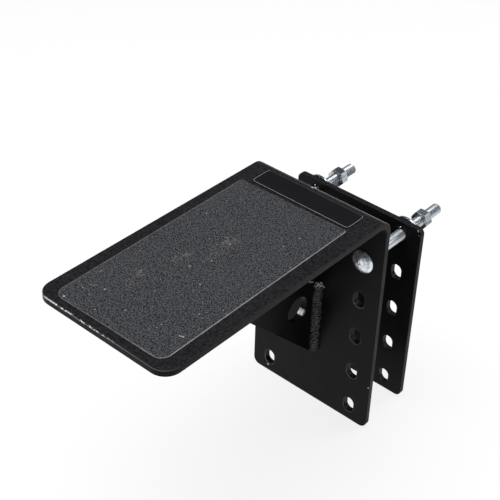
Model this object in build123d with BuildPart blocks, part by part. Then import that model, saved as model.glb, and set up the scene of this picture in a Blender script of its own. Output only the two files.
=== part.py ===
"""Clamp-on trailer step: a folded steel tread with a welded gusset, held by a bolted clamp plate.

Frame: X across the step, +Y from the tread towards the clamp plate, +Z up. The origin is on the rear face of
the mounting plate, at mid-width, level with the clamp bolts. Sizes are in millimetres.
"""

import os
from math import radians, sin, sqrt, tan

from build123d import *

# Folded sheet: tread and mounting plate
plate_thickness = 6.35
step_width = 152.4
tread_height = 57.0
plate_drop = 204.0
bend_inside_radius = 9.0
tread_corner_radius = 15.9
plate_corner_radius = 8.0
edge_break = 0.8

# Upright slots for the clamp bolts, the same grid in both plates
slot_clearance = 0.4
slot_travel = 6.1
slot_side_margin = 22.7
slot_row_pitch = 46.0
slot_rows = 5

# Gusset under the tread, measured from the corner where the two plates would meet
gusset_thickness = 6.35
gusset_leg = 191.4
gusset_nose = 3.0
gusset_corner_clip = 16.0
gusset_hole_diameter = 28.6
gusset_hole_from_plate = 30.5
gusset_hole_below_tread = 119.6

# Fillet welds, one run at the outer end of each leg, laid by hand in uneven ripples
weld_leg = 6.4
weld_length = 89.4
weld_ripple_pitch = 5.6
weld_ripple_height = 0.7
weld_unevenness = 0.35
weld_end_gap = 2.0

# Grip tape and label strip on the tread
tape_thickness = 0.9
tape_width = 123.8
tape_length = 233.0
tape_front_margin = 8.8
tape_label_gap = 3.75
tape_side_offset = -0.9
tape_twist = 0.8
tape_front_radius = 10.0
tape_rear_radius = 3.0
label_thickness = 0.3
label_width = 116.0
label_length = 26.5
label_corner_radius = 4.0
label_bend_margin = 0.4

# Clamp plate, parallel to the mounting plate
clamp_gap = 53.6
clamp_thickness = 6.35
clamp_width = 152.4
clamp_top_margin = 14.3
clamp_bottom_margin = 16.4
clamp_corner_radius = 6.35

# Carriage bolts, washers and nuts
bolt_diameter = 11.1
bolt_length = 122.0
bolt_head_diameter = 24.0
bolt_head_height = 5.6
bolt_head_edge = 1.0
bolt_end_chamfer = 1.2
neck_length = 6.0
neck_corner_radius = 1.5
washer_diameter = 31.75
washer_bore_clearance = 0.8
washer_thickness = 2.1
nut_across_flats = 17.46
nut_height = 9.53
nut_bore_clearance = 0.05
nut_chamfer_angle = 30.0
nut_face_land = 0.3

# How far each nut has been run back from its washer, and its turn, clockwise from one flat uppermost
left_nut_standoff = 25.0
left_nut_turn = 9.0
right_nut_standoff = 21.6
right_nut_turn = 4.0

# Places that follow from the sizes above. From the bend forward, the tread is as long as the label,
# the tape and the margins round them need
front_face_y = -plate_thickness
tread_underside = tread_height - plate_thickness
bend_outside_radius = bend_inside_radius + plate_thickness
label_rear_y = -bend_outside_radius - label_bend_margin
tape_rear_y = label_rear_y - label_length - tape_label_gap
tread_front_y = tape_rear_y - tape_length - tape_front_margin
slot_width = bolt_diameter + 2 * slot_clearance
slot_length = slot_width + slot_travel
slot_column_spacing = step_width - 2 * slot_side_margin
slot_field = slot_row_pitch * (slot_rows - 1)
bolt_radius = bolt_diameter / 2
bolt_x = slot_column_spacing / 2
clamp_front_y = clamp_gap
washer_front_y = clamp_front_y + clamp_thickness
washer_rear_y = washer_front_y + washer_thickness


def across(x, y, z):
    """Plane square to the bolts: its normal points from the tread towards the clamp plate."""
    return Plane(origin=(x, y, z), x_dir=(1, 0, 0), z_dir=(0, 1, 0))


def along(x, y):
    """Plane through a bolt's axis: its X runs along the bolt, and its Y points up."""
    return Plane(origin=(x, y, 0), x_dir=(0, 1, 0), z_dir=(1, 0, 0))


def slot_grid(face_y):
    """The grid of slots on a plate's front face, with its top row level with the bolts."""
    with BuildSketch(across(0, face_y, -slot_field / 2)) as grid:
        with GridLocations(slot_column_spacing, slot_row_pitch, 2, slot_rows):
            SlotOverall(slot_length, slot_width, rotation=90)
    return grid.sketch


# Tread and mounting plate, one folded sheet with its sheared edges broken
with BuildPart() as step_plate:
    with BuildSketch(Plane.YZ) as section:
        with BuildLine():
            Polyline(
                (0, -plate_drop),
                (0, tread_height),
                (tread_front_y, tread_height),
                (tread_front_y, tread_underside),
                (front_face_y, tread_underside),
                (front_face_y, -plate_drop),
                close=True,
            )
        make_face()
        outer_corner = section.vertices().sort_by_distance((0, tread_height))[0]
        fillet(outer_corner, bend_outside_radius)
        inner_corner = section.vertices().sort_by_distance((front_face_y, tread_underside))[0]
        fillet(inner_corner, bend_inside_radius)
    extrude(amount=step_width / 2, both=True)
    front_corners = step_plate.edges().filter_by(Axis.Z).group_by(Axis.Y)[0]
    fillet(front_corners, tread_corner_radius)
    lower_corners = step_plate.edges().filter_by(Axis.Y).group_by(Axis.Z)[0]
    fillet(lower_corners, plate_corner_radius)
    left_rim = step_plate.faces().sort_by(Axis.X)[0].edges()
    right_rim = step_plate.faces().sort_by(Axis.X)[-1].edges()
    rim_ends = left_rim.filter_by(Axis.Z).group_by(Axis.Y)[0] + left_rim.filter_by(Axis.Y).group_by(Axis.Z)[0]
    rim_ends += right_rim.filter_by(Axis.Z).group_by(Axis.Y)[0] + right_rim.filter_by(Axis.Y).group_by(Axis.Z)[0]
    fillet((left_rim + right_rim) - rim_ends, edge_break)
    extrude(slot_grid(front_face_y), amount=plate_thickness, mode=Mode.SUBTRACT)
step_plate.part.label = "step_plate"

# Gusset, a triangle with blunt ends, clipped where the sheet bends
with BuildPart() as gusset:
    with BuildSketch(Plane.YZ):
        with BuildLine():
            Polyline(
                (front_face_y - gusset_corner_clip, tread_underside),
                (front_face_y - gusset_leg, tread_underside),
                (front_face_y - gusset_leg, tread_underside - gusset_nose),
                (front_face_y - gusset_nose, tread_underside - gusset_leg),
                (front_face_y, tread_underside - gusset_leg),
                (front_face_y, tread_underside - gusset_corner_clip),
                close=True,
            )
        make_face()
        with Locations((front_face_y - gusset_hole_from_plate, tread_underside - gusset_hole_below_tread)):
            Circle(gusset_hole_diameter / 2, mode=Mode.SUBTRACT)
    extrude(amount=gusset_thickness / 2, both=True)
gusset.part.label = "gusset"


def weld_bead(label, root, length):
    """A quarter-round bead along the X axis of its root plane, between that plane's Y and Z directions."""
    ripples = max(3, round(length / weld_ripple_pitch))
    pitch = length / ripples
    valley = weld_leg - weld_ripple_height
    with BuildPart() as bead:
        with BuildSketch(root):
            with BuildLine():
                for i in range(ripples):
                    crest = weld_leg + weld_unevenness * sin(2.4 * i)
                    ThreePointArc((i * pitch, valley), ((i + 0.5) * pitch, crest), ((i + 1) * pitch, valley))
                Polyline((length, valley), (length, 0), (0, 0), (0, valley))
            make_face()
        revolve(axis=Axis(root.origin, root.x_dir), revolution_arc=90)
    bead.part.label = label
    return bead


# Welds on both sides of the gusset, to the mounting plate and to the underside of the tread
far_weld_end = gusset_leg - weld_end_gap
near_weld_end = far_weld_end - weld_length
gusset_side = gusset_thickness / 2
rear_weld_right = weld_bead(
    "rear_weld_right",
    Plane(origin=(gusset_side, front_face_y, tread_underside - near_weld_end), x_dir=(0, 0, -1), z_dir=(0, -1, 0)),
    weld_length,
)
rear_weld_left = weld_bead(
    "rear_weld_left",
    Plane(origin=(-gusset_side, front_face_y, tread_underside - far_weld_end), x_dir=(0, 0, 1), z_dir=(0, -1, 0)),
    weld_length,
)
top_weld_right = weld_bead(
    "top_weld_right",
    Plane(origin=(gusset_side, front_face_y - far_weld_end, tread_underside), x_dir=(0, 1, 0), z_dir=(0, 0, -1)),
    weld_length,
)
top_weld_left = weld_bead(
    "top_weld_left",
    Plane(origin=(-gusset_side, front_face_y - near_weld_end, tread_underside), x_dir=(0, -1, 0), z_dir=(0, 0, -1)),
    weld_length,
)

# Grip tape, stuck on the tread a little askew
with BuildPart() as grip_tape:
    with BuildSketch(Plane.XY.offset(tread_height)) as tape_outline:
        with Locations((tape_side_offset, tape_rear_y - tape_length / 2)):
            Rectangle(tape_width, tape_length, rotation=tape_twist)
        fillet(tape_outline.vertices().sort_by(Axis.Y)[:2], tape_front_radius)
        fillet(tape_outline.vertices().sort_by(Axis.Y)[-2:], tape_rear_radius)
    extrude(amount=tape_thickness)
grip_tape.part.label = "grip_tape"

# Label strip between the tape and the bend
with BuildPart() as label:
    with BuildSketch(Plane.XY.offset(tread_height)):
        with Locations((0, label_rear_y - label_length / 2)):
            RectangleRounded(label_width, label_length, label_corner_radius)
    extrude(amount=label_thickness)
label.part.label = "label"

# Clamp plate, with the same grid of slots
clamp_height = clamp_top_margin + slot_field + clamp_bottom_margin
with BuildPart() as clamp_plate:
    with BuildSketch(across(0, clamp_front_y, clamp_top_margin - clamp_height / 2)):
        RectangleRounded(clamp_width, clamp_height, clamp_corner_radius)
    extrude(amount=clamp_thickness)
    broad_faces = clamp_plate.faces().filter_by(Axis.Y)
    fillet(broad_faces.edges(), edge_break)
    extrude(slot_grid(clamp_front_y), amount=clamp_thickness, mode=Mode.SUBTRACT)
clamp_plate.part.label = "clamp_plate"


def carriage_bolt(label, x):
    """Domed head on the mounting plate's front, a square neck in its slot, and a plain shank."""
    head_radius = bolt_head_diameter / 2
    with BuildPart() as bolt:
        with BuildSketch(along(x, front_face_y)):
            with BuildLine():
                TangentArc((-bolt_head_height, 0), (-bolt_head_edge, head_radius), tangent=(0, 1))
                Polyline(
                    (-bolt_head_edge, head_radius),
                    (0, head_radius),
                    (0, bolt_radius),
                    (bolt_length - bolt_end_chamfer, bolt_radius),
                    (bolt_length, bolt_radius - bolt_end_chamfer),
                    (bolt_length, 0),
                    (-bolt_head_height, 0),
                )
            make_face()
        revolve(axis=Axis((x, 0, 0), (0, 1, 0)))
        with BuildSketch(across(x, front_face_y, 0)):
            RectangleRounded(bolt_diameter, bolt_diameter, neck_corner_radius)
        extrude(amount=neck_length)
    bolt.part.label = label
    return bolt


def washer(label, x):
    """Flat washer against the rear of the clamp plate."""
    with BuildPart() as ring:
        with BuildSketch(across(x, washer_front_y, 0)):
            Circle(washer_diameter / 2)
            Circle(bolt_radius + washer_bore_clearance, mode=Mode.SUBTRACT)
        extrude(amount=washer_thickness)
    ring.part.label = label
    return ring


def hex_nut(label, x, standoff, turn):
    """Hex nut, standing off its washer, with both faces chamfered to a round land."""
    near_y = washer_rear_y + standoff
    corner_radius = nut_across_flats / sqrt(3)
    land_radius = nut_across_flats / 2 - nut_face_land
    chamfer_depth = (corner_radius - land_radius) * tan(radians(nut_chamfer_angle))
    with BuildPart() as nut:
        with BuildSketch(across(x, near_y, 0)):
            RegularPolygon(nut_across_flats / 2, 6, major_radius=False, rotation=turn)
            Circle(bolt_radius + nut_bore_clearance, mode=Mode.SUBTRACT)
        extrude(amount=nut_height)
        with BuildSketch(along(x, near_y)):
            with BuildLine():
                Polyline(
                    (0, 0),
                    (0, land_radius),
                    (chamfer_depth, corner_radius),
                    (nut_height - chamfer_depth, corner_radius),
                    (nut_height, land_radius),
                    (nut_height, 0),
                    close=True,
                )
            make_face()
        revolve(axis=Axis((x, 0, 0), (0, 1, 0)), mode=Mode.INTERSECT)
    nut.part.label = label
    return nut


# Fasteners on each side
left_bolt = carriage_bolt("left_bolt", -bolt_x)
right_bolt = carriage_bolt("right_bolt", bolt_x)
left_washer = washer("left_washer", -bolt_x)
right_washer = washer("right_washer", bolt_x)
left_nut = hex_nut("left_nut", -bolt_x, left_nut_standoff, left_nut_turn)
right_nut = hex_nut("right_nut", bolt_x, right_nut_standoff, right_nut_turn)

# One file for each piece
os.makedirs("parts", exist_ok=True)
export_step(step_plate.part, "parts/step_plate.step")
export_step(gusset.part, "parts/gusset.step")
export_step(rear_weld_right.part, "parts/rear_weld_right.step")
export_step(rear_weld_left.part, "parts/rear_weld_left.step")
export_step(top_weld_right.part, "parts/top_weld_right.step")
export_step(top_weld_left.part, "parts/top_weld_left.step")
export_step(grip_tape.part, "parts/grip_tape.step")
export_step(label.part, "parts/label.step")
export_step(clamp_plate.part, "parts/clamp_plate.step")
export_step(left_bolt.part, "parts/left_bolt.step")
export_step(right_bolt.part, "parts/right_bolt.step")
export_step(left_washer.part, "parts/left_washer.step")
export_step(right_washer.part, "parts/right_washer.step")
export_step(left_nut.part, "parts/left_nut.step")
export_step(right_nut.part, "parts/right_nut.step")
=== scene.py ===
# %% [markdown]
# # A clamp-on trailer step
# A folded steel tread with a welded gusset, held in place by a clamp plate and two carriage bolts. The
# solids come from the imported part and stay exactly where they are. This lesson gives each of them its
# finish, and adds what is too fine for the solids: threads, weld ripples, grit and a printed border.

# %% Load the part
import math

import bpy
import numpy as np
from mathutils import Matrix, Vector, noise


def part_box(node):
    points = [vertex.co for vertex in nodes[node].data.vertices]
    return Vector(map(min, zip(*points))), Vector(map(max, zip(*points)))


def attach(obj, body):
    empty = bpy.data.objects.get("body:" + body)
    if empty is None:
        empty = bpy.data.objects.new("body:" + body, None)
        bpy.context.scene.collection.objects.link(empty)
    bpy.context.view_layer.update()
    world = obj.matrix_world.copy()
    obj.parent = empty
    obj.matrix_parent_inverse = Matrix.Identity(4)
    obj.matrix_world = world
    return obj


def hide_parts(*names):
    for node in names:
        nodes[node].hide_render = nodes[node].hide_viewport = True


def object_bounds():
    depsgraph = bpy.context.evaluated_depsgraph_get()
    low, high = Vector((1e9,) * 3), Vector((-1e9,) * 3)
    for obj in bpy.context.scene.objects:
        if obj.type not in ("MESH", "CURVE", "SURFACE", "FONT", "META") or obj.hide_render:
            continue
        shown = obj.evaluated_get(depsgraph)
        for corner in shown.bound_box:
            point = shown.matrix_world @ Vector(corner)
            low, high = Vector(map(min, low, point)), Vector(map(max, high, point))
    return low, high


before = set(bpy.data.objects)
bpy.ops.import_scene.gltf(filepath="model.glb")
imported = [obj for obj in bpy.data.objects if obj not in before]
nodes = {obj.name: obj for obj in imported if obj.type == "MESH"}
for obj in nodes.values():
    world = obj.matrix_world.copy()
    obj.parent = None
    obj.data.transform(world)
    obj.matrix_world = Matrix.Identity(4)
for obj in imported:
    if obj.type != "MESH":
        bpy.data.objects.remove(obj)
cad_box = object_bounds()
scene = bpy.context.scene
scene.view_settings.view_transform = "Standard"
MM = 0.001

# %% [markdown]
# ## The camera
# The photograph looks down on the tread from its front right corner with a long lens. The place, the
# angles and the lens were worked out from the straight edges of the step, so the render lies over the
# photograph. A camera could be set by one matrix. Three turns are easier to read: up from looking
# straight down, round the upright axis, and a small roll.

# %% Camera
CAMERA_PLACE = Vector((545.4, -740.3, 657.2)) * MM
CAMERA_AZIMUTH = math.radians(40.72)
CAMERA_ELEVATION = math.radians(36.45)
CAMERA_ROLL = math.radians(1.68)
SENSOR_WIDTH = 36.0
LENS_LENGTH = 84.34

camera_data = bpy.data.cameras.new("photo_camera")
camera_data.sensor_width = SENSOR_WIDTH
camera_data.lens = LENS_LENGTH
camera = bpy.data.objects.new("photo_camera", camera_data)
turn = Matrix.Rotation(CAMERA_AZIMUTH, 4, "Z")
tilt = Matrix.Rotation(math.pi / 2 - CAMERA_ELEVATION, 4, "X")
roll = Matrix.Rotation(CAMERA_ROLL, 4, "Z")
camera.matrix_world = Matrix.Translation(CAMERA_PLACE) @ turn @ tilt @ roll
scene.collection.objects.link(camera)
scene.camera = camera
print("camera", round(CAMERA_PLACE.length / MM), "mm from the origin")

# %% [markdown]
# ## Small helpers for every material
# Colours are written as sRGB hex codes, as a colour picker shows them, while Blender's shaders want
# linear light. A material is a tree of nodes. One function adds a node: its settings are given by name,
# and each input is either another node's output, which is linked, or a constant, which is set on the
# socket. The nodes that come back in every finish have short functions of their own, so that a finish
# reads as a list of what the surface has been through. Masks are numbers from 0 to 1, which say how far
# a mark applies. Blender works in metres, so a length is written as millimetres times MM. The sizes of
# patterns and the places of single marks stay plain millimetres, and the helpers turn them into metres.

# %% Colour and node helpers
def linear(code):
    """An sRGB hex code as linear red, green, blue and alpha, by the standard's own curve."""
    values = [int(code[i : i + 2], 16) / 255 for i in (1, 3, 5)]
    return [v / 12.92 if v <= 0.04045 else ((v + 0.055) / 1.055) ** 2.4 for v in values] + [1.0]


def add_node(tree, kind, inputs=(), **settings):
    """One shader node, with its settings, its constants and its links."""
    node = tree.nodes.new("ShaderNode" + kind)
    for name, value in settings.items():
        setattr(node, name, value)
    for socket, value in dict(inputs).items():
        if isinstance(value, bpy.types.NodeSocket):
            tree.links.new(value, node.inputs[socket])
        else:
            node.inputs[socket].default_value = value
    return node


def blank_tree(name):
    """A new material with an empty node tree."""
    material = bpy.data.materials.new(name)
    material.use_nodes = True
    material.node_tree.nodes.clear()
    return material, material.node_tree


def finish_tree(tree, inputs):
    """Ends a material's tree with its surface, given by the shader's inputs."""
    shader = add_node(tree, "BsdfPrincipled", inputs)
    add_node(tree, "OutputMaterial", {"Surface": shader.outputs[0]})


def per_mm(size):
    """The texture scale that repeats once every size millimetres, as coordinates are in metres."""
    return 1 / (size * MM)


print("black coat in linear light:", [round(v, 4) for v in linear("#0C0C0D")[:3]])

# %% Patterns and masks
MEASURES = ("LENGTH", "DISTANCE", "DOT_PRODUCT")
SPOT_CORE = 0.6


def maths(tree, operation, *values):
    """The result of one arithmetic node."""
    return add_node(tree, "Math", dict(enumerate(values)), operation=operation).outputs[0]


def vectors(tree, operation, *values):
    """The result of one vector node: a number where it measures, and otherwise a vector."""
    node = add_node(tree, "VectorMath", dict(enumerate(values)), operation=operation)
    return node.outputs["Value" if operation in MEASURES else "Vector"]


def mottle(tree, place, size, detail, roughness=0.5):
    """Noise in patches of about a size in millimetres, with finer noise inside them."""
    inputs = {"Vector": place, "Scale": per_mm(size), "Detail": detail, "Roughness": roughness}
    return add_node(tree, "TexNoise", inputs).outputs[0]


def ramp(tree, value, start, end, low=0.0, high=1.0, curve="LINEAR"):
    """Runs from low to high as a value goes from start to end, and stays level beyond them."""
    inputs = {"Value": value, "From Min": start, "From Max": end, "To Min": low, "To Max": high}
    return add_node(tree, "MapRange", inputs, interpolation_type=curve).outputs[0]


def together(tree, masks, operation="MULTIPLY"):
    """Several masks as one: their product, or their maximum."""
    total = masks[0]
    for mask in masks[1:]:
        total = maths(tree, operation, total, mask)
    return total


def above(tree, value, limit, soft):
    """A mask that is 1 from a limit upwards, and fades to 0 over a soft width under it."""
    return ramp(tree, value, limit - soft, limit, curve="SMOOTHSTEP")


def below(tree, value, limit, soft):
    """A mask that is 1 up to a limit, and fades to 0 over a soft width past it."""
    return ramp(tree, value, limit + soft, limit, curve="SMOOTHSTEP")


def band(tree, value, low, high, soft):
    """A mask that is 1 between two limits, and fades to 0 over a soft width outside them."""
    return together(tree, [above(tree, value, low, soft), below(tree, value, high, soft)])


def spots(tree, place, marks):
    """A mask that is 1 around each mark, given as a place and a radius in millimetres, with a soft rim."""
    masks = []
    for mark, radius in marks:
        gap = vectors(tree, "DISTANCE", place, [v * MM for v in mark])
        core = SPOT_CORE * radius * MM
        masks.append(below(tree, gap, core, radius * MM - core))
    return together(tree, masks, "MAXIMUM")


def blend(tree, mask, under, over):
    """One colour laid over another by a mask. Each is a hex code or a node's output."""
    under, over = [linear(c) if isinstance(c, str) else c for c in (under, over)]
    return add_node(tree, "Mix", {0: mask, 6: under, 7: over}, data_type="RGBA").outputs[2]


print("patterns and masks ready")

# %% [markdown]
# ## Floor and light
# The step stands on a pale sweep of paper, with its plate's lower edge on the floor. The paper is lit
# like the step, and most of what the camera sees of it is plain white, so that it stays pale and still
# shows the shadow. A large lamp overhead does the work of an overcast sky. Two lamps behind, one high
# and one low on the right, give the bolts and nuts something bright to mirror, because a metal in an
# empty room looks black. A weak one fills in from the front left. A photographed sky could light it all
# too, but lamps are easier to place.

# %% Floor
FLOOR_SIZE = 40000.0 * MM
FLOOR_GAP = 0.2 * MM
FIBRE_SIZE = 40.0
PAPER_GLOW = 0.75
GLOW_STRENGTH = 1.08
SEEN_RAYS = ("Is Camera Ray", "Is Glossy Ray", "Is Transmission Ray")

paper, tree = blank_tree("white paper sweep")
fibre = mottle(tree, add_node(tree, "TexCoord").outputs["Object"], FIBRE_SIZE, 4.0)
paper_face = add_node(tree, "BsdfDiffuse", {"Color": blend(tree, fibre, "#F1F1F0", "#F6F6F5")})
paper_glow = add_node(tree, "Emission", {"Color": linear("#FFFFFF"), "Strength": GLOW_STRENGTH})
rays = add_node(tree, "LightPath")
seen = together(tree, [rays.outputs[kind] for kind in SEEN_RAYS], "MAXIMUM")
glow_share = together(tree, [seen, PAPER_GLOW])
paper_mix = add_node(tree, "MixShader", {0: glow_share, 1: paper_face.outputs[0], 2: paper_glow.outputs[0]})
add_node(tree, "OutputMaterial", {"Surface": paper_mix.outputs[0]})

bpy.ops.mesh.primitive_plane_add(size=FLOOR_SIZE, location=(0, 0, cad_box[0][2] - FLOOR_GAP))
floor = bpy.context.object
floor.name = "floor"
floor.data.materials.append(paper)
print("floor at", round(floor.location.z / MM, 1), "mm")

# %% Lamps and world, with places and sizes in metres and powers in watts
WORLD_LIGHT = 0.22
LAMP_TARGET = Vector((0, -0.1, 0))
LAMPS = {
    "overhead_lamp": ((-0.35, -0.45, 1.9), 1.5, 28),
    "front_left_lamp": ((-1.0, -1.1, 1.3), 0.8, 5),
    "rear_lamp": ((0.25, 1.28, 1.52), 0.7, 4),
    "rear_right_lamp": ((1.12, 1.43, 0.81), 0.9, 12),
}

world = bpy.data.worlds.new("studio")
world.use_nodes = True
scene.world = world
backdrop = world.node_tree.nodes["Background"]
backdrop.inputs["Color"].default_value = linear("#F4F6FA")
backdrop.inputs["Strength"].default_value = WORLD_LIGHT

for name, (place, size, power) in LAMPS.items():
    lamp_data = bpy.data.lights.new(name, "AREA")
    lamp_data.size = size
    lamp_data.energy = power
    lamp = bpy.data.objects.new(name, lamp_data)
    lamp.location = place
    lamp.rotation_euler = (LAMP_TARGET - Vector(place)).to_track_quat("-Z", "Y").to_euler()
    scene.collection.objects.link(lamp)
print(len(LAMPS), "lamps")

# %% [markdown]
# ## Black powder coat
# The steel is shot-blasted, sprayed with dry black polyester powder and baked. That gives a satin skin
# with a fine orange-peel ripple. Dust settles on the faces that look up, and boots rub the front edge grey
# or bare. Some light is painted into the coat's colour as well: a pale line along the bend for its
# highlight, a pale ring round each slot for the highlight of its rolled edge, edges painted lighter for a
# thinner coat and a highlight together, and pale spots for glints by a weld and in the gusset's hole.
# Wear could be painted by hand. Here it comes from the shape: the direction of the normal tells a flat
# face from a rounded edge, and the Bevel node's softened normal leaves the true one only close to an edge.

# %% Where the folded step is worn, and where highlights are painted on it
EDGE_GRAIN = 2.4
EDGE_STRETCH = (0.5, 1, 1)
RUB_GRAIN = 1.3
FRONT_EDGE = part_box("step_plate")[0].y
FRONT_LIP = 0.8 * MM
FRONT_FADE = (FRONT_EDGE + 2 * MM, FRONT_EDGE + 16 * MM)
ACROSS_FADE = (-70.0 * MM, 60.0 * MM)
BARE_UP_TO = -14.0 * MM
BARE_FADE = 44.0 * MM
BEND_START = -16.0 * MM
BEND_FOOT = 50.0 * MM
BEND_HIGHLIGHT_FROM = -6.0 * MM
SLOT_COLUMN = 53.5 * MM
SLOT_PITCH = 46.0 * MM
SLOT_RADIUS = 5.95 * MM
SLOT_STRAIGHT = 3.05 * MM
SLOTS_TOP = 12.0 * MM
RIM_WIDTH = 1.3 * MM
RIM_SOFTNESS = 0.4 * MM
LIT_SIDE = (-0.6, -0.8, 0.0)


def slot_rim_highlights(tree, at):
    """A painted highlight ring round every upright slot for its rolled edge, lightest at its lower left."""
    shifted = maths(tree, "SUBTRACT", at.outputs["X"], SLOT_COLUMN)
    across = maths(tree, "WRAP", shifted, SLOT_COLUMN, -SLOT_COLUMN)
    upright = maths(tree, "WRAP", at.outputs["Z"], SLOT_PITCH / 2, -SLOT_PITCH / 2)
    past = maths(tree, "SUBTRACT", maths(tree, "ABSOLUTE", upright), SLOT_STRAIGHT)
    beyond = maths(tree, "MAXIMUM", past, 0.0)
    offset = add_node(tree, "CombineXYZ", {0: across, 1: beyond})
    gap = vectors(tree, "LENGTH", offset.outputs[0])
    ring = band(tree, gap, SLOT_RADIUS + RIM_SOFTNESS, SLOT_RADIUS + RIM_WIDTH, RIM_SOFTNESS)
    # The ring is painted lighter on the side that faces the light: a painted highlight.
    outward = add_node(tree, "CombineXYZ", {0: across, 1: upright})
    heading = vectors(tree, "NORMALIZE", outward.outputs[0])
    lean = vectors(tree, "DOT_PRODUCT", heading, LIT_SIDE)
    rub_and_highlight = ramp(tree, lean, -0.4, 0.9, low=0.08)
    return together(tree, [ring, rub_and_highlight, below(tree, at.outputs["Z"], SLOTS_TOP, 1 * MM)])


def step_wear_and_highlights(tree, coords):
    """Two masks: coat worn grey, with painted highlights along the fold and round the slots, and coat gone.
    """
    place = coords.outputs["Object"]
    at = add_node(tree, "SeparateXYZ", {0: place})
    facing = add_node(tree, "SeparateXYZ", {0: coords.outputs["Normal"]})
    x, y = at.outputs["X"], at.outputs["Y"]
    grain = mottle(tree, vectors(tree, "MULTIPLY", place, EDGE_STRETCH), EDGE_GRAIN, 3.0)
    fine = mottle(tree, place, RUB_GRAIN, 2.0)
    rounding = band(tree, facing.outputs["Z"], 0.3, 0.88, 0.08)
    forward = below(tree, y, BEND_START, 2 * MM)
    edge = together(tree, [rounding, forward, ramp(tree, y, *FRONT_FADE, 1.0, 0.12)])
    line = together(tree, [edge, ramp(tree, x, *ACROSS_FADE, 1.0, 0.45)])
    # A pale line painted along the bend: a highlight where the coat catches the light at a grazing angle.
    bend_highlight = together(
        tree,
        [
            band(tree, facing.outputs["Y"], 0.5, 0.55, 0.05),
            above(tree, at.outputs["Z"], BEND_FOOT, 1 * MM),
            above(tree, x, BEND_HIGHLIGHT_FROM, 5 * MM),
            above(tree, grain, 0.6, 0.3),
        ],
    )
    # Painted highlight rings round the slots, broken up by the grain.
    rolled = together(tree, [slot_rim_highlights(tree, at), above(tree, grain, 0.9, 0.75)])
    rubbed_and_highlit = together(tree, [line, bend_highlight, rolled], "MAXIMUM")
    lip = below(tree, y, FRONT_EDGE + FRONT_LIP, FRONT_LIP)
    bare_and_highlit = together(
        tree,
        [
            together(tree, [edge, lip], "MAXIMUM"),
            above(tree, facing.outputs["Z"], 0.2, 0.1),
            above(tree, grain, 0.53, 0.05),
            above(tree, fine, 0.54, 0.2),
            below(tree, x, BARE_UP_TO, BARE_FADE),
        ],
    )
    return rubbed_and_highlit, bare_and_highlit


print("the step's front edge is", round(-FRONT_EDGE / MM, 1), "mm from the mounting face")

# %% Powder coat
ORANGE_PEEL = 1.8
PEEL_DEPTH = 0.06 * MM
MOTTLING = 38.0
DUST_GRAIN = 2.4
EDGE_ROUNDING = 0.6 * MM
BEVEL_SAMPLES = 6
COAT_SPECULAR = 0.08


def powder_coat(name, nicks_and_glints, wear_and_highlights=None, edge_wear_and_sheen=0.35):
    """Satin black coat. nicks_and_glints lists pale nicks and painted glints, and wear_and_highlights
    adds masks for coat worn grey and for coat worn through, which also paint highlights.
    """
    material, tree = blank_tree(name)
    coords = add_node(tree, "TexCoord")
    place = coords.outputs["Object"]
    facing = add_node(tree, "SeparateXYZ", {0: coords.outputs["Normal"]})
    peel = mottle(tree, place, ORANGE_PEEL, 1.0)
    cloud = mottle(tree, place, MOTTLING, 5.0)
    dust = mottle(tree, place, DUST_GRAIN, 3.0)
    upward = ramp(tree, facing.outputs["Z"], 0.3, 0.95, low=0.12)
    dusty = together(tree, [upward, ramp(tree, dust, 0.3, 0.75, high=0.42)])
    colour = blend(tree, dusty, blend(tree, cloud, "#080809", "#121211"), "#45454A")
    rounded = add_node(tree, "Bevel", {"Radius": EDGE_ROUNDING}, samples=BEVEL_SAMPLES).outputs[0]
    true_normal = add_node(tree, "NewGeometry").outputs["Normal"]
    agree = vectors(tree, "DOT_PRODUCT", rounded, true_normal)
    # Edges are painted lighter, partly as a thinner coat and partly as a painted highlight.
    thin_coat_and_highlight = together(tree, [ramp(tree, agree, 0.97, 0.75, high=edge_wear_and_sheen), dust])
    colour = blend(tree, thin_coat_and_highlight, colour, "#566060")
    coat = {"Specular IOR Level": COAT_SPECULAR}
    if wear_and_highlights:
        rubbed_and_highlit, bare_and_highlit = wear_and_highlights(tree, coords)
        # Rubbed coat turns grey; the same mask paints highlights along the bend and round the slots.
        colour = blend(tree, rubbed_and_highlit, colour, "#808082")
        # Worn-through coat turns pale metal; the same mask paints the highlight in the gusset's hole.
        colour = blend(tree, bare_and_highlit, colour, "#DCDBDF")
        coat["Metallic"] = bare_and_highlit
    # Pale nicks, and pale dots painted as glints and highlights.
    coat["Base Color"] = blend(tree, spots(tree, place, nicks_and_glints), colour, "#E8E8E8")
    coat["Roughness"] = ramp(tree, cloud, 0.3, 0.7, 0.34, 0.48)
    skin = {"Height": peel, "Distance": PEEL_DEPTH, "Strength": 0.5, "Normal": rounded}
    coat["Normal"] = add_node(tree, "Bump", skin).outputs[0]
    finish_tree(tree, coat)
    return material


def dress(name, material):
    """Gives a solid of the part its finish in place of the plain one it was loaded with."""
    nodes[name].data.materials.clear()
    nodes[name].data.materials.append(material)


print("powder coat ready")

# %% Coated pieces, with places and radii of their marks in millimetres
STEP_NICKS_AND_GLINTS = [
    ((-55.8, -6.4, -196.1), 1.5),
    ((75.0, -6.4, -147.6), 1.0),
    # A painted highlight dot where the line along the bend starts.
    ((-8.7, -10.0, 56.2), 1.3),
    # Painted glints beside the start of the weld.
    ((9.6, -6.4, -53.0), 0.8),
    ((10.7, -6.4, -53.6), 0.8),
    ((11.5, -6.4, -54.4), 0.6),
]
CLAMP_CHIPS = [((72.2, 53.6, 13.2), 0.6), ((73.0, 53.6, 12.4), 0.5), ((74.1, 53.6, 8.3), 0.4)]
# Painted glints on the gusset beside the start of the weld.
GUSSET_GLINTS = [((3.2, -19.4, -44.2), 1.2), ((3.2, -16.9, -46.2), 0.8), ((3.2, -14.8, -46.8), 0.9)]
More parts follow.
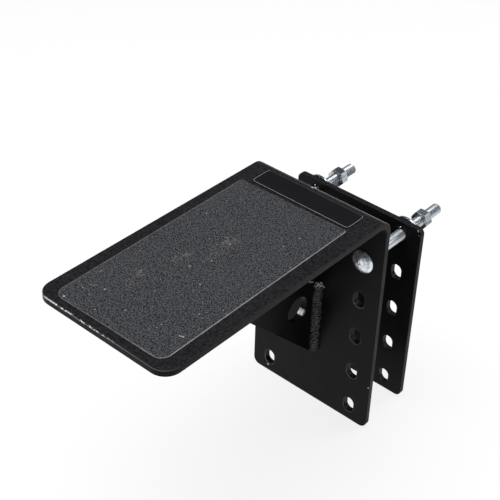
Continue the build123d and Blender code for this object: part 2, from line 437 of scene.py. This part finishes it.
# A pale metallic patch on the wall of the gusset's hole: a painted highlight.
HOLE_WALL_HIGHLIGHT = [((1.6, -27.0, -78.8), 4.2), ((-1.6, -27.0, -78.8), 4.2)]


def hole_highlight(tree, coords):
    """A pale metal patch painted on the wall of the gusset's hole, as a highlight."""
    rub_and_highlight = spots(tree, coords.outputs["Object"], HOLE_WALL_HIGHLIGHT)
    return rub_and_highlight, rub_and_highlight


dress("step_plate", powder_coat("powder coat on the folded step", STEP_NICKS_AND_GLINTS, step_wear_and_highlights))
dress("clamp_plate", powder_coat("powder coat on the clamp plate", CLAMP_CHIPS, edge_wear_and_sheen=0.15))
dress("gusset", powder_coat("powder coat on the gusset", GUSSET_GLINTS, hole_highlight))
print("powder coat on three steel pieces")

# %% [markdown]
# ## Bright zinc plating
# Bolts, nuts and washers are steel, plated with zinc and passivated: a cool bright metal, not mirror
# smooth. A bolt's head is forged, which leaves it softly dented. Wire and bar are drawn through a die,
# which leaves fine streaks along their length, and marks that run round the shank draw its highlights
# out along the bolt. Threads, nuts and washers have been handled and are greyer. Scratches could come
# from a picture, but noise that is stretched along the bolt has no seams. Zinc is a metal, so it has no
# colour apart from what it reflects, and the roughness does most of the work.

# %% Zinc plate
BLOTCH = 6.0
DENT_SIZE = 3.0
STREAK_WIDTH = 0.7
STREAK_DEPTH = 0.02 * MM
ZINC_ROUNDING = 0.35 * MM
DRAWN = 0.05
FORGED = 1.0
QUARTER_TURN = 0.25
FRESH = ("#F4F8FD", "#B4BAC0")
HANDLED = ("#C6CCD2", "#868D93")


def zinc_plate(name, colours, stretch, shine, rough, dents, turned=0.0):
    """Zinc with marks stretched along the bolt.

    shine is the share that mirrors, rough the lowest and highest roughness, dents their depth in
    millimetres, and turned the strength of marks that run round the bolt.
    """
    material, tree = blank_tree(name)
    place = add_node(tree, "TexCoord").outputs["Object"]
    along = vectors(tree, "MULTIPLY", place, (1, stretch, 1))
    dent = mottle(tree, place, DENT_SIZE, 1.0)
    blotch = mottle(tree, along, BLOTCH, 3.0)
    streak = mottle(tree, along, STREAK_WIDTH, 2.0)
    rounded = add_node(tree, "Bevel", {"Radius": ZINC_ROUNDING}, samples=BEVEL_SAMPLES).outputs[0]
    beaten = add_node(tree, "Bump", {"Height": dent, "Distance": dents * MM, "Normal": rounded}).outputs[0]
    skin = {"Height": streak, "Distance": STREAK_DEPTH, "Strength": 0.4, "Normal": beaten}
    finish = {
        "Base Color": blend(tree, above(tree, blotch, 0.62, 0.14), *colours),
        "Metallic": shine,
        "Roughness": ramp(tree, streak, 0.3, 0.7, *rough),
        "Normal": add_node(tree, "Bump", skin).outputs[0],
    }
    if turned:
        finish["Tangent"] = add_node(tree, "Tangent", direction_type="RADIAL", axis="Y").outputs[0]
        finish["Anisotropic"] = turned
        finish["Anisotropic Rotation"] = QUARTER_TURN
    finish_tree(tree, finish)
    return material


head_zinc = zinc_plate(
    "bright zinc on a forged head", FRESH, FORGED, shine=0.75, rough=(0.18, 0.3), dents=0.4
)
shank_zinc = zinc_plate(
    "bright zinc on a turned shank", FRESH, DRAWN, shine=0.8, rough=(0.42, 0.52), dents=0.05, turned=1.0
)
thread_zinc = zinc_plate(
    "handled zinc on a rolled thread", HANDLED, DRAWN, shine=0.9, rough=(0.2, 0.32), dents=0.05
)
nut_zinc = zinc_plate(
    "handled zinc on nuts and washers", HANDLED, DRAWN, shine=1.0, rough=(0.16, 0.26), dents=0.03
)
for name in ("left_washer", "right_washer", "left_nut", "right_nut"):
    dress(name, nut_zinc)
print("zinc on the washers and nuts")

# %% [markdown]
# ## Carriage bolts with rolled threads
# A carriage bolt has a domed head with no grip for a spanner. A square neck under it sits in the slot
# and stops it turning. The thread is rolled on, so its crests stand level with the shank. The solid
# leaves the thread out. Cutting a helix from the solid would be slow and heavy, so a mesh of rings puts
# it back: each ring is a circle whose radius dips where the groove crosses it.

# %% A mesh from rings
def mesh_piece(name, points, faces, materials, sharp_angle=40.0):
    """A new piece from points in metres and faces by index, smooth up to a sharp angle in degrees."""
    data = bpy.data.meshes.new(name)
    data.from_pydata([tuple(p) for p in points], [], faces)
    for material in materials:
        data.materials.append(material)
    data.shade_smooth()
    data.set_sharp_from_angle(angle=math.radians(sharp_angle))
    data.update()
    piece = bpy.data.objects.new(name, data)
    scene.collection.objects.link(piece)
    return piece


def skin_rings(rings):
    """Joins closed rings of equal length into a tube with flat ends."""
    around = len(rings[0])
    points = [p for ring in rings for p in ring]
    faces = []
    for i in range(len(rings) - 1):
        for j in range(around):
            k = (j + 1) % around
            faces.append((i * around + j, i * around + k, (i + 1) * around + k, (i + 1) * around + j))
    faces.append(tuple(reversed(range(around))))
    faces.append(tuple(range((len(rings) - 1) * around, len(rings) * around)))
    return points, faces


print("helpers for meshes made of rings")

# %% Bolts
AROUND = 48
DOME_RINGS = 12
HEAD_HEIGHT = 5.6 * MM
HEAD_EDGE = 1.0 * MM
HEAD_BREAK = 0.15 * MM
SHANK_RADIUS = 5.55 * MM
NECK_LENGTH = 6.0 * MM
NECK_TAPER = 0.8 * MM
NECK_SQUARENESS = 8
INCH = 25.4 * MM
THREADS_PER_INCH = 14
THREAD_LENGTH = 62.0 * MM
THREAD_PITCH = INCH / THREADS_PER_INCH
THREAD_DEPTH = 0.42 * THREAD_PITCH
CREST_SHARE = 0.15
FLANK_SHARE = 0.7
RUN_IN_TURNS = 2
RINGS_PER_TURN = 10
END_CHAMFER = 1.2 * MM

plate_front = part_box("gusset")[1].y
angles = np.linspace(0, 2 * math.pi, AROUND, endpoint=False)


def groove(turns):
    """Depth of a rolled thread, from 0 on its crest to 1 at its root."""
    flank = np.abs((turns % 1.0) * 2 - 1)
    return np.clip((flank - CREST_SHARE) / FLANK_SHARE, 0, 1)


def head_profile(low_y, head_radius):
    """Places along the bolt and radii there, from the top of the domed head to the plate."""
    dome_rise = HEAD_HEIGHT - HEAD_EDGE
    dome_radius = (head_radius**2 + dome_rise**2) / (2 * dome_rise)
    dome_angle = math.asin(head_radius / dome_radius)
    profile = []
    for i in range(1, DOME_RINGS + 1):
        angle = dome_angle * i / DOME_RINGS
        profile.append((low_y + dome_radius * (1 - math.cos(angle)), dome_radius * math.sin(angle)))
    profile.append((plate_front - HEAD_BREAK, head_radius))
    profile.append((plate_front, head_radius - HEAD_BREAK))
    return profile


def threaded_bolt(node):
    """A carriage bolt in the place of its solid."""
    low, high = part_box(node)
    centre_x = (low.x + high.x) / 2
    radii = [(y, np.full(AROUND, r)) for y, r in head_profile(low.y, (high.x - low.x) / 2)]
    corners = np.abs(np.cos(angles)) ** NECK_SQUARENESS + np.abs(np.sin(angles)) ** NECK_SQUARENESS
    square = SHANK_RADIUS / corners ** (1 / NECK_SQUARENESS)
    radii += [(plate_front, square), (plate_front + NECK_LENGTH - NECK_TAPER, square)]
    radii += [(plate_front + NECK_LENGTH, np.full(AROUND, SHANK_RADIUS))]
    thread_start = high.y - THREAD_LENGTH
    count = int(THREAD_LENGTH / THREAD_PITCH * RINGS_PER_TURN)
    for i in range(count + 1):
        y = thread_start + THREAD_LENGTH * i / count
        turns = (y - thread_start) / THREAD_PITCH
        depth = THREAD_DEPTH * min(1.0, turns / RUN_IN_TURNS) * groove(turns - angles / (2 * math.pi))
        chamfer = max(0.0, END_CHAMFER - (high.y - y))
        radii.append((y, np.minimum(SHANK_RADIUS - depth, SHANK_RADIUS - chamfer)))
    rings = []
    for y, ring in radii:
        rings.append([(centre_x + r * math.cos(a), y, r * math.sin(a)) for r, a in zip(ring, angles)])
    points, faces = skin_rings(rings)
    faces = [tuple(reversed(face)) for face in faces]
    bolt = mesh_piece(node + "_threaded", points, faces, [head_zinc, shank_zinc, thread_zinc])
    for face in bolt.data.polygons:
        face.material_index = int(face.center.y > plate_front) + int(face.center.y > thread_start)
    return bolt


for node in ("left_bolt", "right_bolt"):
    bolt = threaded_bolt(node)
    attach(bolt, "step")
    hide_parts(node)
    print(bolt.name, len(bolt.data.polygons), "faces")

# %% [markdown]
# ## Hand-laid fillet welds
# The gusset is joined by electric welding: a row of overlapping pools freezes into ripples, like a stack
# of coins pushed over. A hand lays them unevenly, and each run starts with a lump where the arc was
# struck. The coat runs thin on the crests, so the bead looks knobbly and greyer than the plate. A bead
# could be sculpted by hand. Here a tube of arcs follows the corner, and its radius carries the ripples
# and the noise, so that every bead differs. The heights are kept on the mesh for the finish to use.

# %% Weld finish
WELD_GRIT = 1.0
WELD_GRIT_DEPTH = 0.15 * MM


def weld_coat(name):
    """Powder coat over a weld: dark in hollows, grey on crests, and a glint painted white where a run
    starts.
    """
    material, tree = blank_tree(name)
    crest = add_node(tree, "Attribute", attribute_name="crest").outputs["Fac"]
    struck = add_node(tree, "Attribute", attribute_name="struck").outputs["Fac"]
    grit = mottle(tree, add_node(tree, "TexCoord").outputs["Object"], WELD_GRIT, 3.0)
    height = together(tree, [crest, grit])
    # A glint painted white on the crests where a run starts.
    bright = together(tree, [struck, above(tree, height, 0.36, 0.07)])
    colour = blend(tree, above(tree, height, 0.52, 0.36), "#0B0B0B", "#525251")
    skin = add_node(tree, "Bump", {"Height": grit, "Distance": WELD_GRIT_DEPTH, "Strength": 0.6})
    finish = {
        "Base Color": blend(tree, bright, colour, "#FFFFFF"),
        "Roughness": 0.42,
        "Specular IOR Level": 0.25,
        "Normal": skin.outputs[0],
    }
    finish_tree(tree, finish)
    return material


weld_finish = weld_coat("powder coat over weld")
print("weld finish ready")

# %% Weld beads
RIPPLE_PITCH = 2.9 * MM
RIPPLE_HEIGHT = 0.8 * MM
RIPPLE_BOW = 0.8
RIPPLE_WOBBLE = 0.7
KNOB_SIZE = 2.3 * MM
KNOB_HEIGHT = 0.75 * MM
FULL_CREST = 0.5 * RIPPLE_HEIGHT + 0.4 * KNOB_HEIGHT
ARC_STEPS = 18
STEP_ALONG = 0.4 * MM
END_ROUNDING = 4.0 * MM
END_DROP = 0.75
STRUCK_LENGTH = 4.2 * MM
STRUCK_SLOPE = 1.5
STRUCK_SWELL = 0.05
WELD_SHARP_ANGLE = 60.0


def clamped(value):
    """A value held between 0 and 1."""
    return min(1.0, max(0.0, value))


def ripple(surface, u, angle):
    """How far a point of a bead stands out, by its place, its way along and its angle round the bead."""
    bow = RIPPLE_BOW * abs(math.cos(angle * 2))
    wobble = RIPPLE_WOBBLE * noise.noise(surface / (3 * KNOB_SIZE))
    phase = (u / RIPPLE_PITCH + bow + wobble) % 1.0
    coin = math.sqrt(1 - (2 * phase - 1) ** 2)
    knob = noise.noise(surface / KNOB_SIZE) + 0.5 * noise.noise(surface / (KNOB_SIZE / 2))
    return RIPPLE_HEIGHT * (coin - 0.5) + KNOB_HEIGHT * knob


def rippled_bead(node, out, off):
    """A bead in the corner of two plates: out runs along one plate and off along the other."""
    low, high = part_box(node)
    out, off = Vector(out), Vector(off)
    along = Vector([1 - abs(a) - abs(b) for a, b in zip(out, off)])
    root = Vector([high[i] if out[i] + off[i] < 0 else low[i] for i in range(3)])
    length = (high - low).dot(along)
    leg = (high - low).dot(Vector([abs(v) for v in out])) - RIPPLE_HEIGHT / 2
    count = int(length / STEP_ALONG)
    rings, crests, starts = [], [], []
    for i in range(count + 1):
        u = length * i / count
        end = min(u, length - u)
        taper = math.sqrt(1 - END_DROP * max(0.0, 1 - end / END_ROUNDING) ** 2)
        struck = clamped(STRUCK_SLOPE * (1 - (length - u) / STRUCK_LENGTH))
        centre = root + along * u
        ring, row = [centre], [0.0]
        for j in range(ARC_STEPS + 1):
            angle = math.pi / 2 * j / ARC_STEPS
            reach = out * math.cos(angle) + off * math.sin(angle)
            rise = ripple(centre + reach * leg, u, angle)
            ring.append(centre + reach * (leg * (1 + STRUCK_SWELL * struck) + rise) * taper)
            row.append(clamped(0.5 + 0.5 * rise / FULL_CREST))
        rings.append(ring)
        crests += row
        starts += [struck] * len(row)
    points, faces = skin_rings(rings)
    if out.cross(off).dot(along) > 0:
        faces = [tuple(reversed(face)) for face in faces]
    bead = mesh_piece(node + "_rippled", points, faces, [weld_finish], WELD_SHARP_ANGLE)
    for attribute, values in (("crest", crests), ("struck", starts)):
        layer = bead.data.attributes.new(attribute, "FLOAT", "POINT")
        layer.data.foreach_set("value", values)
    return bead


BEADS = {
    "rear_weld_right": ((1, 0, 0), (0, -1, 0)),
    "rear_weld_left": ((-1, 0, 0), (0, -1, 0)),
    "top_weld_right": ((1, 0, 0), (0, 0, -1)),
    "top_weld_left": ((-1, 0, 0), (0, 0, -1)),
}
for node, (out, off) in BEADS.items():
    bead = rippled_bead(node, out, off)
    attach(bead, "step")
    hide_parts(node)
    print(bead.name, len(bead.data.polygons), "faces")

# %% [markdown]
# ## Grip tape
# The tread carries a sheet of anti-slip tape: mineral grit, glued to a film. Grit could be bump in a
# material. The grains are about half a millimetre, though, just large enough to be real points in a
# mesh. Each point of a fine grid is lifted by a seeded random amount, so the light breaks up as it does
# on the real grains, and the cut edge shows the pale film. A few scuffs and brown smears lie where the
# tape has been stepped on, and single grains all over are painted pale, partly as stray pale grit and
# partly as painted glints.

# %% Grit finish, with places and radii of its marks in millimetres
SPECKLE = 1.2
TRAFFIC = 46.0
PALE_GRAIN_SPACING = 2.6
SMEAR_CLUMPS = 3.5
SMEAR_STRAY = 34.0 * MM
TAPE_FACE = 57.8
TAPE_MARKS = [
    ((-51.7, -276.6, TAPE_FACE), 1.2),
    ((-34.4, -247.6, TAPE_FACE), 0.8),
    ((-5.5, -177.3, TAPE_FACE), 0.8),
    ((17.6, -189.2, TAPE_FACE), 0.7),
    ((51.3, -247.4, TAPE_FACE), 0.7),
    ((52.8, -246.7, TAPE_FACE), 0.8),
    ((54.3, -246.3, TAPE_FACE), 0.8),
    ((-2.3, -130.8, TAPE_FACE), 0.9),
]
SMEARS = [
    ((-3.7, -124.1, TAPE_FACE), 6.0),
    ((-3.1, -134.0, TAPE_FACE), 5.0),
    ((-1.5, -148.1, TAPE_FACE), 4.5),
    ((0.4, -160.1, TAPE_FACE), 4.0),
    ((-16.3, -167.3, TAPE_FACE), 4.0),
    ((-18.7, -178.2, TAPE_FACE), 4.5),
    ((-27.0, -213.8, TAPE_FACE), 5.0),
    ((-24.0, -228.1, TAPE_FACE), 5.0),
]


def smears(tree, place):
    """A patchy mask of brown dirt, with the rims of its spots pushed about by noise."""
    clump = add_node(tree, "TexNoise", {"Vector": place, "Scale": per_mm(SMEAR_CLUMPS), "Detail": 3.0})
    centred = vectors(tree, "SUBTRACT", clump.outputs["Color"], (0.5, 0.5, 0.5))
    ragged = vectors(tree, "MULTIPLY_ADD", centred, (SMEAR_STRAY, SMEAR_STRAY, 0), place)
    return together(tree, [spots(tree, ragged, SMEARS), ramp(tree, clump.outputs[0], 0.4, 0.65, high=0.6)])


def pale_grains_and_glints(tree, place):
    """A mask of single pale grains, partly painted glints: Voronoi cells picked by their random colour."""
    cells = add_node(tree, "TexVoronoi", {"Vector": place, "Scale": per_mm(PALE_GRAIN_SPACING)})
    lot = add_node(tree, "SeparateXYZ", {0: cells.outputs["Color"]})
    middle = below(tree, cells.outputs["Distance"], 0.16, 0.1)
    return together(tree, [middle, above(tree, lot.outputs["X"], 0.985, 0.035)])


def grit_surface(name):
    """Black mineral grit, greyed by foot traffic, with smears, pale marks and painted glints."""
    material, tree = blank_tree(name)
    place = add_node(tree, "TexCoord").outputs["Object"]
    speckle = mottle(tree, place, SPECKLE, 2.0, roughness=0.6)
    traffic = mottle(tree, place, TRAFFIC, 3.0)
    marks = together(tree, [spots(tree, place, TAPE_MARKS), pale_grains_and_glints(tree, place)], "MAXIMUM")
    colour = blend(tree, ramp(tree, speckle, 0.42, 0.61), "#0C0C0E", "#5A5B60")
    colour = blend(tree, ramp(tree, traffic, 0.35, 0.7, high=0.22), colour, "#454546")
    colour = blend(tree, smears(tree, place), colour, "#74736A")
    # Pale marks, and single grains painted pale, partly as painted glints.
    colour = blend(tree, marks, colour, "#B2B1AE")
    finish_tree(tree, {"Base Color": colour, "Roughness": 0.78, "Specular IOR Level": 0.15})
    return material


grit = grit_surface("mineral grit on tape")
print("grit ready, with", len(TAPE_MARKS), "pale marks and", len(SMEARS), "smears")

# %% Cut edge of the tape
CHEWED = 4.0
SCUFF_ACROSS = (10.0 * MM, 62.0 * MM)


def cut_film(name):
    """The cut edge of the tape: pale film with loose grit, scuffed more towards the right."""
    material, tree = blank_tree(name)
    place = add_node(tree, "TexCoord").outputs["Object"]
    at = add_node(tree, "SeparateXYZ", {0: place})
    scuff = ramp(tree, at.outputs["X"], *SCUFF_ACROSS, low=0.24)
    pale = together(tree, [mottle(tree, place, CHEWED, 4.0), scuff])
    finish_tree(tree, {"Base Color": blend(tree, pale, "#46464A", "#BEBEBA"), "Roughness": 0.7})
    return material


tape_edge = cut_film("cut edge of grip tape")
print("cut edge ready")

# %% Grid of grains
TAPE_WIDTH = 123.8 * MM
TAPE_LENGTH = 233.0 * MM
TAPE_OFFSET = -0.9 * MM
TAPE_TWIST = math.radians(0.8)
TAPE_GAP = 3.75 * MM
FRONT_RADIUS = 10.0 * MM
REAR_RADIUS = 3.0 * MM
GRAIN = 0.62 * MM
GRAIN_HEIGHT = 0.22 * MM
GRAIN_SEED = 7
RIM_SINK = 0.6

tread_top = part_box("label")[0].z
tape_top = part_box("grip_tape")[1].z
tape_centre = Vector((TAPE_OFFSET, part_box("label")[0].y - TAPE_GAP - TAPE_LENGTH / 2, 0))


def half_width(distance, radius):
    """Half the tape's width at a distance from one end, where its corners are rounded."""
    if distance >= radius:
        return TAPE_WIDTH / 2
    return TAPE_WIDTH / 2 - radius + math.sqrt(max(0.0, radius**2 - (radius - distance) ** 2))


columns = int(TAPE_WIDTH / GRAIN)
rows = int(TAPE_LENGTH / GRAIN)
lift = np.random.default_rng(GRAIN_SEED).random((rows + 1, columns + 1))
points, faces = [], []
for i in range(rows + 1):
    y = TAPE_LENGTH * i / rows
    half = min(half_width(y, FRONT_RADIUS), half_width(TAPE_LENGTH - y, REAR_RADIUS))
    for j in range(columns + 1):
        x = half * (2 * j / columns - 1)
        on_rim = i in (0, rows) or j in (0, columns)
        z = tape_top - GRAIN_HEIGHT * (RIM_SINK if on_rim else 1 - lift[i, j])
        points.append((x, y - TAPE_LENGTH / 2, z))
for i in range(rows):
    for j in range(columns):
        a = i * (columns + 1) + j
        faces.append((a, a + 1, a + columns + 2, a + columns + 1))
print("tape grid", rows, "by", columns, "grains")

# %% Sides and underside of the tape
TAPE_SHARP_ANGLE = 75.0

top_faces = len(faces)
rim = list(range(columns + 1))
rim += [i * (columns + 1) + columns for i in range(1, rows + 1)]
rim += [rows * (columns + 1) + j for j in range(columns - 1, -1, -1)]
rim += [i * (columns + 1) for i in range(rows - 1, 0, -1)]
first_low = len(points)
points += [(points[i][0], points[i][1], tread_top) for i in rim]
for k in range(len(rim)):
    n = (k + 1) % len(rim)
    faces.append((rim[n], rim[k], first_low + k, first_low + n))
faces.append(tuple(reversed(range(first_low, first_low + len(rim)))))

tape = mesh_piece("gritty_tape", points, faces, [grit, tape_edge], TAPE_SHARP_ANGLE)
for i, face in enumerate(tape.data.polygons):
    row, column = divmod(i, columns)
    if i >= top_faces or row == 0 or column in (0, columns - 1):
        face.material_index = 1
tape.data.transform(Matrix.Translation(tape_centre) @ Matrix.Rotation(TAPE_TWIST, 4, "Z"))
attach(tape, "step")
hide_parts("grip_tape")
print("tape with", len(faces), "faces")

# %% [markdown]
# ## Label strip
# Behind the tape lies a strip of black vinyl film with a thin pale border printed on it. The strip
# carries no words, and the ink is rubbed away along the rear, where the sheet starts to bend. The border
# could be a line in the film's colour. As a flat ring of print, made from two rounded rectangles, it
# stays crisp at any distance.

# %% Vinyl film
FILM_BLACK = "#0C0C0F"
FILM_GRAIN = 9.0
INK_GRAIN = 3.0
INK_RUBBED_FROM = -17.4 * MM
INK_FADE = 1.0 * MM
INK_LOSS = 0.85


def vinyl_film(name, dark, light, grain, rubbed_from=None):
    """Vinyl, or print on it, with faint rubbing, worn down to the black film from a place along Y."""
    material, tree = blank_tree(name)
    place = add_node(tree, "TexCoord").outputs["Object"]
    rub_and_highlight = mottle(tree, place, grain, 5.0)
    colour = blend(tree, rub_and_highlight, dark, light)
    if rubbed_from is not None:
        at = add_node(tree, "SeparateXYZ", {0: place})
        gone = ramp(tree, at.outputs["Y"], rubbed_from, rubbed_from + INK_FADE, high=INK_LOSS)
        colour = blend(tree, gone, colour, FILM_BLACK)
    rough = ramp(tree, rub_and_highlight, 0.0, 1.0, 0.3, 0.55)
    finish_tree(tree, {"Base Color": colour, "Roughness": rough, "Specular IOR Level": 0.12})
    return material


dress("label", vinyl_film("black vinyl film", FILM_BLACK, "#17171B", FILM_GRAIN))
print("film on the label")

# %% Printed border
BORDER_INSET = 1.3 * MM
BORDER_REAR_INSET = 0.4 * MM
BORDER_WIDTH = 0.5 * MM
BORDER_RADIUS = 3.6 * MM
INK_THICKNESS = 0.04 * MM
CORNER_STEPS = 8


def rounded_ring(low, high, shrink):
    """Points round the border's outer line, shrunk by a width on every side."""
    points = []
    inset = BORDER_INSET + shrink
    rear_inset = BORDER_REAR_INSET + shrink
    radius = BORDER_RADIUS - shrink
    for sx, sy, start in ((1, 1, 0), (-1, 1, 90), (-1, -1, 180), (1, -1, 270)):
        corner_x = (high.x if sx > 0 else low.x) - sx * (inset + radius)
        corner_y = high.y - rear_inset - radius if sy > 0 else low.y + inset + radius
        for i in range(CORNER_STEPS + 1):
            angle = math.radians(start + 90 * i / CORNER_STEPS)
            points.append((corner_x + radius * math.cos(angle), corner_y + radius * math.sin(angle)))
    return points


low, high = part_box("label")
outer = rounded_ring(low, high, 0.0)
inner = rounded_ring(low, high, BORDER_WIDTH)
ink_top = high.z + INK_THICKNESS
loops = [(outer, high.z), (outer, ink_top), (inner, ink_top), (inner, high.z)]
points = [(x, y, z) for loop, z in loops for x, y in loop]
count = len(outer)
faces = []
for i in range(len(loops)):
    m = (i + 1) % len(loops)
    for j in range(count):
        k = (j + 1) % count
        faces.append((i * count + j, i * count + k, m * count + k, m * count + j))
ink = vinyl_film("pale screen ink", "#6E6E6E", "#A8A8A6", INK_GRAIN, INK_RUBBED_FROM)
border = mesh_piece("label_border", points, faces, [ink])
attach(border, "step")
print("label border", count, "points round")
